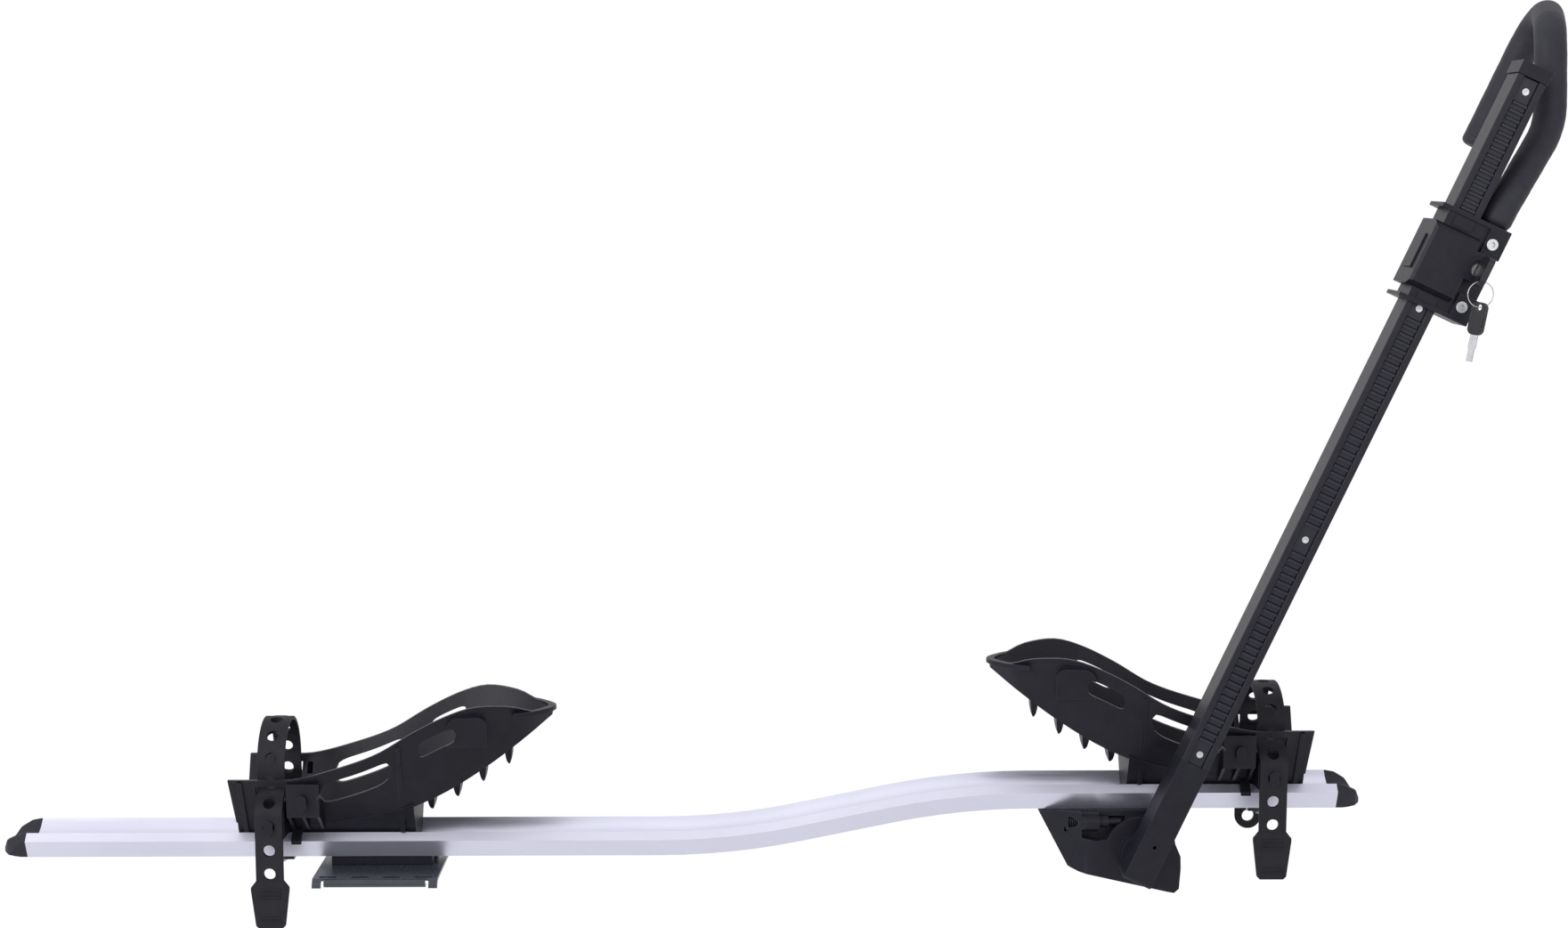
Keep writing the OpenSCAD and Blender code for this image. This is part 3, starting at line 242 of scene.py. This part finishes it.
def edge_share(tree, radius_mm):
    """Near 1 along edges, where the rounded normal leaves the true one, and 0 on open faces; this is the mask
    of the painted edge highlight.
    """
    rounded = tree.nodes.new("ShaderNodeBevel")
    rounded.samples = 4
    rounded.inputs["Radius"].default_value = radius_mm * MM
    flat = tree.nodes.new("ShaderNodeNewGeometry")
    likeness = tree.nodes.new("ShaderNodeVectorMath")
    likeness.operation = "DOT_PRODUCT"
    tree.links.new(rounded.outputs["Normal"], likeness.inputs[0])
    tree.links.new(flat.outputs["True Normal"], likeness.inputs[1])
    share = tree.nodes.new("ShaderNodeMapRange")
    share.inputs["From Min"].default_value = 0.985
    share.inputs["From Max"].default_value = 0.80
    tree.links.new(likeness.outputs["Value"], share.inputs["Value"])
    return share.outputs["Result"]


def paint_edge_highlight(tree, colour, light, gain, radius_mm):
    """A colour painted lighter along the edges, as a highlight where rounded rims catch the light."""
    highlighted = tree.nodes.new("ShaderNodeMix")
    highlighted.data_type = "RGBA"
    tree.links.new(edge_share(tree, radius_mm), highlighted.inputs["Factor"])
    tree.links.new(colour, highlighted.inputs["A"])
    # Colour of the painted highlight: the light end of the tint, raised by the gain.
    highlighted.inputs["B"].default_value = tuple(min(1.0, value * gain) for value in light) + (1.0,)
    return highlighted.outputs["Result"]


def finish_material(name, dark, light, rough, metallic=0.0, patch=60.0, grain=1500.0, depth=0.00006,
                    stretch=(1.0, 1.0, 1.0), strength=0.5, shine=0.2, edge_highlight=0.0):
    """Colour and roughness vary in patches; a finer grain gives the bump; a painted highlight lightens the
    edges when its gain is given.
    """
    material, tree, shader = new_material(name)
    broad = object_noise(tree, patch, 5.0, 0.6)
    colour = tint(tree, broad, dark, light)
    # Painted highlight: the edges are coloured lighter in place of the glints of rounded rims.
    if edge_highlight:
        colour = paint_edge_highlight(tree, colour, light, edge_highlight, EDGE_HIGHLIGHT_MM)
    tree.links.new(colour, shader.inputs["Base Color"])
    fine = object_noise(tree, grain, 2.0, 0.5, stretch)
    tree.links.new(spread(tree, fine, rough[0], rough[1]), shader.inputs["Roughness"])
    shader.inputs["Metallic"].default_value = metallic
    shader.inputs["Specular IOR Level"].default_value = shine
    bump(tree, shader, fine, depth, strength)
    return material


def grey(value, blue=0.0):
    return (value, value, value + blue)


# Width in mm of the painted edge highlight.
EDGE_HIGHLIGHT_MM = 0.9
# The gains at the end of these lines paint a lighter highlight along the edges of the dark plastics and
# coats.
MATERIALS = {
    "rail": finish_material("anodised_rail", (0.66, 0.66, 0.78), (0.70, 0.70, 0.82), (0.32, 0.42), 0.85,
                            8.0, 900.0, 0.00001, (0.02, 1.0, 1.0), 0.35),
    "cap": finish_material("cap_plastic", grey(0.022, 0.008), grey(0.029, 0.010), (0.42, 0.56), edge_highlight=2.2),
    "tray": finish_material("tray_plastic", grey(0.009, 0.005), grey(0.013, 0.007), (0.38, 0.52), edge_highlight=3.6),
    "strap": finish_material("strap_rubber", grey(0.014, 0.005), grey(0.020, 0.006), (0.55, 0.72),
                             grain=2200.0, depth=0.00004),
    "housing": finish_material("housing_plastic", grey(0.010, 0.006), grey(0.015, 0.008), (0.36, 0.50),
                               grain=1800.0, edge_highlight=3.6),
    "arm": finish_material("arm_powder_coat", grey(0.016, 0.007), grey(0.022, 0.009), (0.34, 0.46),
                           grain=700.0, depth=0.00004, edge_highlight=2.4),
    "plate": finish_material("plate_powder_coat", (0.026, 0.031, 0.043), (0.034, 0.040, 0.054), (0.20, 0.30),
                             grain=700.0, depth=0.00004, shine=0.6, edge_highlight=2.4),
    "zinc": finish_material("zinc", (0.44, 0.45, 0.47), (0.54, 0.55, 0.57), (0.30, 0.44), 1.0,
                            300.0, 2500.0, 0.00001),
    "steel": finish_material("steel", (0.42, 0.43, 0.45), (0.52, 0.53, 0.55), (0.28, 0.42), 1.0,
                             200.0, 2500.0, 0.00001),
    "strip": finish_material("strip_plastic", grey(0.014, 0.009), grey(0.020, 0.012), (0.32, 0.44),
                             grain=2000.0, shine=0.3, edge_highlight=2.6),
    "sleeve": finish_material("sleeve_rubber", grey(0.034, 0.010), grey(0.044, 0.012), (0.50, 0.66),
                              grain=1600.0, depth=0.00005),
    "tube": finish_material("tube_powder_coat", grey(0.014, 0.005), grey(0.020, 0.006), (0.36, 0.48),
                            grain=700.0, depth=0.00004),
    "pad": finish_material("pad_rubber", grey(0.014), grey(0.020), (0.65, 0.8)),
    "bush": finish_material("bush_bronze", (0.48, 0.34, 0.14), (0.58, 0.42, 0.20), (0.25, 0.4), 1.0,
                            200.0, 2500.0, 0.00001),
    "key_grip": finish_material("key_plastic", grey(0.011, 0.004), grey(0.016, 0.005), (0.30, 0.42),
                                grain=2400.0, shine=0.35, edge_highlight=3.0),
    "lock": finish_material("lock_chrome", (0.52, 0.52, 0.54), (0.62, 0.62, 0.64), (0.16, 0.26), 1.0,
                            300.0, 2500.0, 0.00001),
}


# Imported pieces: material, welded corners, rounded edges and smooth shading

WELD_MM = 0.01
EDGE_DEG = 32.0
PLAIN_EDGE_MM = 0.3
NORMAL_WEIGHT = 60
EDGE_MM = {"tray": 0.9, "housing": 0.8, "cap": 1.2, "arm": 0.8, "rail": 0.35, "plate": 0.5, "strap": 0.7,
           "strip": 0.35, "key_grip": 0.7, "zinc": 0.25, "steel": 0.2, "lock": 0.4}
SLOT_OF = {part["node"]: part["material_slot"] for part in frame["record"]["subparts"]}
BLACKENED = ("foot_bolts", "foot_nuts")


def dress(obj, slot):
    obj.data.materials.clear()
    obj.data.materials.append(MATERIALS[slot])
    weld = obj.modifiers.new("weld", "WELD")
    weld.merge_threshold = WELD_MM * MM
    width = EDGE_MM.get(slot, PLAIN_EDGE_MM)
    edge = obj.modifiers.new("edge", "BEVEL")
    edge.width = width * MM
    edge.segments = 2
    edge.limit_method = "ANGLE"
    edge.angle_limit = math.radians(EDGE_DEG)
    edge.harden_normals = False
    edge.use_clamp_overlap = True
    obj.data.shade_smooth()
    normal = obj.modifiers.new("normal", "WEIGHTED_NORMAL")
    normal.keep_sharp = False
    normal.weight = NORMAL_WEIGHT


for node_name, node_object in NODES.items():
    dress(node_object, "tube" if node_name in BLACKENED else SLOT_OF[node_name])


# Finer pieces that stand for packed ones

def piece(name, mesh, slot, body, *nodes):
    """A new piece with its material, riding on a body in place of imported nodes."""
    obj = bpy.data.objects.new(name, mesh)
    scene.collection.objects.link(obj)
    mesh.materials.append(MATERIALS[slot])
    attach(obj, body)
    if nodes:
        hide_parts(*nodes)
    return obj


def round_edges(obj, width_mm, segments=3):
    edge = obj.modifiers.new("edge", "BEVEL")
    edge.width = width_mm * MM
    edge.segments = segments
    edge.limit_method = "ANGLE"
    edge.angle_limit = math.radians(EDGE_DEG)
    obj.data.shade_smooth()
    normal = obj.modifiers.new("normal", "WEIGHTED_NORMAL")
    normal.weight = NORMAL_WEIGHT


def tube_mesh(name, points, radii, sides):
    """Round tube through points in mm, each with its own radius."""
    bm = bmesh.new()
    rings = []
    side = None
    points = [point * MM for point in points]
    radii = [radius * MM for radius in radii]
    for index, point in enumerate(points):
        ahead = points[min(index + 1, len(points) - 1)]
        behind = points[max(index - 1, 0)]
        run = (ahead - behind).normalized()
        if side is None:
            side = run.orthogonal().normalized()
        side = (side - run * side.dot(run)).normalized()
        other = run.cross(side)
        rings.append([bm.verts.new(point + radii[index] * (math.cos(angle) * side + math.sin(angle) * other))
                      for angle in (2 * math.pi * k / sides for k in range(sides))])
    for ring, after in zip(rings, rings[1:]):
        for k in range(sides):
            j = (k + 1) % sides
            bm.faces.new((ring[k], ring[j], after[j], after[k]))
    bm.faces.new(list(reversed(rings[0])))
    bm.faces.new(rings[-1])
    mesh = bpy.data.meshes.new(name)
    bm.to_mesh(mesh)
    bm.free()
    mesh.shade_smooth()
    return mesh


# Straps: a rubber band with rimmed holes, a ribbed pull tab and a round far end

STRAP_HALF = 14.0
STRAP_THICK = 4.0
HANG_Y = 63.5
LEG_Y = 46.3
SPRING_H = 64.0
DRIFT_H = (27.0, 51.0)
TAIL_H = -42.0
TAB_LEN = 49.0
TAB_HALF = STRAP_HALF + 5.5
HOLE_PITCH = 24.3
HOLE_R = 6.0
END_HOLE_R = 6.5
BUTTON_H = 14.7
LIP_WIDTH = 2.2
LIP_RISE = 0.5
CELL_HALF = 9.0


def strap_line(loop, far):
    """Centre line across the rails, as (y, height over the rail's rim), from tail to far end."""
    def drift(height):
        t = (height - DRIFT_H[0]) / (DRIFT_H[1] - DRIFT_H[0])
        return HANG_Y - (HANG_Y - LEG_Y) * (1 - math.cos(math.pi * t)) / 2

    rise = [DRIFT_H[0] + (DRIFT_H[1] - DRIFT_H[0]) * i / 24 for i in range(1, 25)]
    high = loop - SPRING_H - STRAP_THICK / 2
    arch = [math.pi * (1 - i / 72) for i in range(73)]
    line = [(-HANG_Y, TAIL_H), (-HANG_Y, 0.0), (-HANG_Y, DRIFT_H[0])]
    line += [(-drift(h), h) for h in rise]
    line += [(LEG_Y * math.cos(a), SPRING_H + high * math.sin(a)) for a in arch]
    line += [(drift(h), h) for h in reversed(rise)]
    return line + [(HANG_Y, DRIFT_H[0]), (HANG_Y, 0.0), (HANG_Y, far)]


class Path:
    """Place and outward normal at a distance along a line of (y, height) points."""

    def __init__(self, line):
        self.line = [Vector(point) for point in line]
        self.runs = [0.0]
        for a, b in zip(self.line, self.line[1:]):
            self.runs.append(self.runs[-1] + (b - a).length)
        self.total = self.runs[-1]

    def place(self, run):
        index = max(i for i in range(len(self.runs) - 1) if self.runs[i] <= max(run, 0.0) or i == 0)
        a, b = self.line[index], self.line[index + 1]
        return a + (b - a) * ((run - self.runs[index]) / (b - a).length)

    def at(self, run):
        ahead, behind = self.place(run + 1.5), self.place(run - 1.5)
        along = (ahead - behind).normalized()
        return self.place(run), Vector((-along.y, along.x))


def cell_edge(round_end):
    """Outline of the patch about one hole, as (run, width), counter-clockwise from the lower front corner."""
    across = [STRAP_HALF * (2 * i / 8 - 1) for i in range(8)]
    lengths = [CELL_HALF * (1 - 2 * i / 6) for i in range(6)]
    if not round_end:
        return ([(CELL_HALF, w) for w in across] + [(r, STRAP_HALF) for r in lengths]
                + [(-CELL_HALF, -w) for w in across] + [(-r, -STRAP_HALF) for r in lengths])
    arc = [(-math.pi / 2 + math.pi * i / 14) for i in range(15)]
    return ([(STRAP_HALF * math.cos(a), STRAP_HALF * math.sin(a)) for a in arc]
            + [(-CELL_HALF / 2, STRAP_HALF)] + [(-CELL_HALF, -w) for w in across]
            + [(-CELL_HALF, -STRAP_HALF), (-CELL_HALF / 2, -STRAP_HALF)])


def strap_sheet(holes, total):
    """Flat strap as a mesh in run and width: rings of faces about each hole, strips between them."""
    bm = bmesh.new()
    across = [STRAP_HALF * (2 * i / 8 - 1) for i in range(9)]

    def corner(run, width):
        return bm.verts.new((run, width, 0.0))

    def strip(run0, run1):
        steps = max(1, int(round((run1 - run0) / 2.5)))
        rows = [[corner(run0 + (run1 - run0) * i / steps, w) for w in across] for i in range(steps + 1)]
        for row, after in zip(rows, rows[1:]):
            for k in range(len(across) - 1):
                bm.faces.new((row[k], after[k], after[k + 1], row[k + 1]))

    last = 0.0
    for run, radius, round_end in holes:
        if run - CELL_HALF > last + 0.05:
            strip(last, run - CELL_HALF)
        edge = list(dict.fromkeys(cell_edge(round_end)))
        rings = []
        for k in (0.0, 0.5, 1.0):
            ring = []
            for r, w in edge:
                flat = Vector((r, w)).normalized()
                near = flat * (radius + LIP_WIDTH * 2 * min(k, 0.5))
                spot = near if k < 1.0 else Vector((r, w))
                ring.append(corner(run + spot.x, spot.y))
            rings.append(ring)
        for ring, after in zip(rings, rings[1:]):
            for i in range(len(ring)):
                j = (i + 1) % len(ring)
                bm.faces.new((ring[i], after[i], after[j], ring[j]))
        last = run + CELL_HALF
    if last < total:
        strip(last, total)
    bmesh.ops.remove_doubles(bm, verts=bm.verts, dist=0.02)
    return bm


def strap_mesh(name, loop, far, middle_x, rim_z):
    path = Path(strap_line(loop, far))
    total = path.total
    limit = total - DRIFT_H[0] + far - 12.0
    first = BUTTON_H - TAIL_H - 2 * HOLE_PITCH
    holes = []
    while first <= limit:
        holes.append((first, HOLE_R, False))
        first += HOLE_PITCH
    height = BUTTON_H
    ends = []
    while height > far + 14.0:
        ends.append((total - (height - far), HOLE_R, False))
        height -= HOLE_PITCH
    holes = [h for h in holes if not ends or h[0] < ends[0][0] - 2 * CELL_HALF] + ends
    holes.append((total, END_HOLE_R, True))
    bm = strap_sheet(holes, total)
    lifted = bmesh.ops.extrude_face_region(bm, geom=list(bm.faces))
    for vert in (g for g in lifted["geom"] if isinstance(g, bmesh.types.BMVert)):
        vert.co.z = STRAP_THICK
    centres = [(run, radius) for run, radius, _ in holes]
    for vert in bm.verts:
        run, width, high = vert.co
        lift = high - STRAP_THICK / 2
        reach = min(math.hypot(run - r, width) - radius for r, radius in centres)
        if reach < LIP_WIDTH * 0.6:
            lift += math.copysign(LIP_RISE, lift)
        spot, normal = path.at(min(run, total))
        beyond = max(0.0, run - total)
        spot = spot + normal * lift - Vector((0.0, beyond))
        vert.co = ((middle_x + width), spot.x, rim_z + spot.y)
    bmesh.ops.recalc_face_normals(bm, faces=bm.faces)
    add_tab(bm, middle_x, rim_z + TAIL_H)
    for vert in bm.verts:
        vert.co *= MM
    mesh = bpy.data.meshes.new(name)
    bm.to_mesh(mesh)
    bm.free()
    return mesh


def add_slab(bm, outline, y0, y1):
    """Closed slab of an outline in x and z, between two depths."""
    near = [bm.verts.new((x, y0, z)) for x, z in outline]
    far = [bm.verts.new((x, y1, z)) for x, z in outline]
    bm.faces.new(near)
    bm.faces.new(list(reversed(far)))
    for i in range(len(outline)):
        j = (i + 1) % len(outline)
        bm.faces.new((near[j], near[i], far[i], far[j]))


def add_tab(bm, x, z):
    half = [(STRAP_HALF, 1.0), (TAB_HALF, -6.0), (TAB_HALF, -9.0), (STRAP_HALF + 1.0, 3.0 - TAB_LEN),
            (STRAP_HALF - 2.0, -TAB_LEN)]
    outline = [(x - w, z + h) for w, h in half] + [(x + w, z + h) for w, h in reversed(half)]
    add_slab(bm, outline, -HANG_Y - 2.5, -HANG_Y + 2.0)
    for row in (-8.0, -12.0, -16.0, -38.0, -42.0):
        rib = [(x - 11.0, z + row - 1.0), (x + 11.0, z + row - 1.0), (x + 11.0, z + row + 1.0),
               (x - 11.0, z + row + 1.0)]
        add_slab(bm, rib, -HANG_Y - 3.4, -HANG_Y - 2.4)


def add_strap(node, body, far):
    low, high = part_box(node)
    middle_x = (low[0] + high[0]) / 2 / MM
    rim_z = low[2] / MM + TAB_LEN - TAIL_H
    mesh = strap_mesh(node + "_band", high[2] / MM - rim_z, far, middle_x, rim_z)
    obj = piece(node + "_band", mesh, "strap", body, node)
    round_edges(obj, 0.6)


add_strap("rear_strap", "rear_tray", -34.0)
add_strap("front_strap", "frame", -58.0)


# Hook: a soft sleeve drawn over the bent tube, a little uneven

ARM_ANGLE = math.radians(65.2)
PIVOT = Vector((13.2, 0.0, 33.2))
SLEEVE_R = 16.0
SLEEVE_FROM = (722.0, 34.0, -80.0)
HOOK_CORNERS = ((738.0, 34.0, -80.0, 62.0), (838.0, 51.3, -43.5, 62.0), (920.0, 10.0, -43.5, 37.0),
                (962.0, 19.4, 60.0, 37.0))
HOOK_TIP = (808.0, 19.4, 60.0)
SLEEVE_SIDES = 48


def arm_point(along, beside, y):
    """Place in mm of a point along the arm, beside it and across the rails."""
    c, s = math.cos(ARM_ANGLE), math.sin(ARM_ANGLE)
    return PIVOT + Vector((along * c + beside * s, y, along * s - beside * c))


def fill(points, end, step):
    start = points[-1]
    count = max(1, int((end - start).length / step))
    points.extend(start.lerp(end, (i + 1) / count) for i in range(count))


def bent_line(start, corners, end, step=2.0):
    """Line from start to end with a round bend of its own radius at each corner."""
    spots = [start] + [spot for spot, _ in corners] + [end]
    points = [start]
    for before, (corner, radius), after in zip(spots, corners, spots[2:]):
        come = (corner - before).normalized()
        leave = (after - corner).normalized()
        turn = come.angle(leave)
        inward = (leave - come * come.dot(leave)).normalized()
        begin = corner - come * radius * math.tan(turn / 2)
        centre = begin + inward * radius
        fill(points, begin, step)
        count = max(6, int(radius * turn / step))
        for i in range(1, count + 1):
            angle = turn * i / count
            points.append(centre + radius * (come * math.sin(angle) - inward * math.cos(angle)))
    fill(points, end, step)
    return points


def add_sleeve():
    corners = [(arm_point(u, v, y), radius) for u, v, y, radius in HOOK_CORNERS]
    line = bent_line(arm_point(*SLEEVE_FROM), corners, arm_point(*HOOK_TIP))
    radii = [SLEEVE_R - 0.16 + 0.08 * math.sin(0.43 * i) + 0.06 * math.sin(1.31 * i)
             for i in range(len(line))]
    radii[0] = SLEEVE_R - 2.2
    radii[1] = SLEEVE_R - 0.6
    radii[-1] = SLEEVE_R
    mesh = tube_mesh("hook_sleeve_soft", line, radii, SLEEVE_SIDES)
    piece("hook_sleeve_soft", mesh, "sleeve", "slider", "hook_sleeve")


add_sleeve()


# Key ring: a flat coil of two turns

def add_split_ring():
    low, high = (Vector(corner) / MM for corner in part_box("key_ring"))
    middle = (low + high) / 2
    half = (high.y - low.y) / 2
    wire = half * 0.52
    radius = (high.x - low.x) / 2 - half
    count = 180
    line = []
    for i in range(count + 1):
        angle = math.radians(20.0) + 3.94 * math.pi * i / count
        offset = (half - wire) * (2 * i / count - 1)
        line.append(middle + Vector((radius * math.cos(angle), offset, radius * math.sin(angle))))
    mesh = tube_mesh("split_ring_coil", line, [wire] * len(line), 12)
    piece("split_ring_coil", mesh, SLOT_OF["key_ring"], "key_bunch", "key_ring")


add_split_ring()


# Springs: smooth-shaded copies of the coils, riding on the bodies that carry them

def add_spring(node, body, slot):
    source = NODES[node]
    mesh = source.data.copy()
    mesh.transform(source.matrix_world)
    mesh.materials.clear()
    obj = piece(node + "_coil", mesh, slot, body, node)
    mesh.shade_smooth()
    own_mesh(obj)


add_spring("button_spring", "slider", "steel")
add_spring("latch_spring", "frame", "tube")


# Foot pad: rubber with cross grooves under the sole

GROOVE_PITCH = 7.0
GROOVE_HALF = 1.6
GROOVE_DEEP = 1.2
GROOVE_SLANT = 0.3


def add_foot_pad():
    """Copy of the pad whose lower face is drawn up into grooves at an even pitch."""
    source = NODES["foot_pad"]
    bm = bmesh.new()
    bm.from_mesh(source.data)
    bm.transform(source.matrix_world)
    bmesh.ops.remove_doubles(bm, verts=bm.verts, dist=WELD_MM * MM)
    first = min(bm.verts, key=lambda vert: vert.co.x).co.x
    last = max(bm.verts, key=lambda vert: vert.co.x).co.x
    count = int((last - first) / MM / GROOVE_PITCH)
    start = (first + last) / 2 - (count - 1) / 2 * GROOVE_PITCH * MM
    grooves = [start + i * GROOVE_PITCH * MM for i in range(count)]
    for middle in grooves:
        for offset in (GROOVE_HALF, GROOVE_HALF - GROOVE_SLANT):
            for side in (-1, 1):
                bmesh.ops.bisect_plane(bm, geom=bm.verts[:] + bm.edges[:] + bm.faces[:],
                                       plane_co=(middle + side * offset * MM, 0.0, 0.0),
                                       plane_no=(1.0, 0.0, 0.0))
    under = {vert for face in bm.faces if face.normal.z < -0.8 for vert in face.verts}
    inner = (GROOVE_HALF - GROOVE_SLANT + 0.02) * MM
    for vert in under:
        if any(abs(vert.co.x - middle) < inner for middle in grooves):
            vert.co.z += GROOVE_DEEP * MM
    mesh = bpy.data.meshes.new("foot_pad_grooved")
    bm.to_mesh(mesh)
    bm.free()
    piece("foot_pad_grooved", mesh, "pad", "frame", "foot_pad")


add_foot_pad()
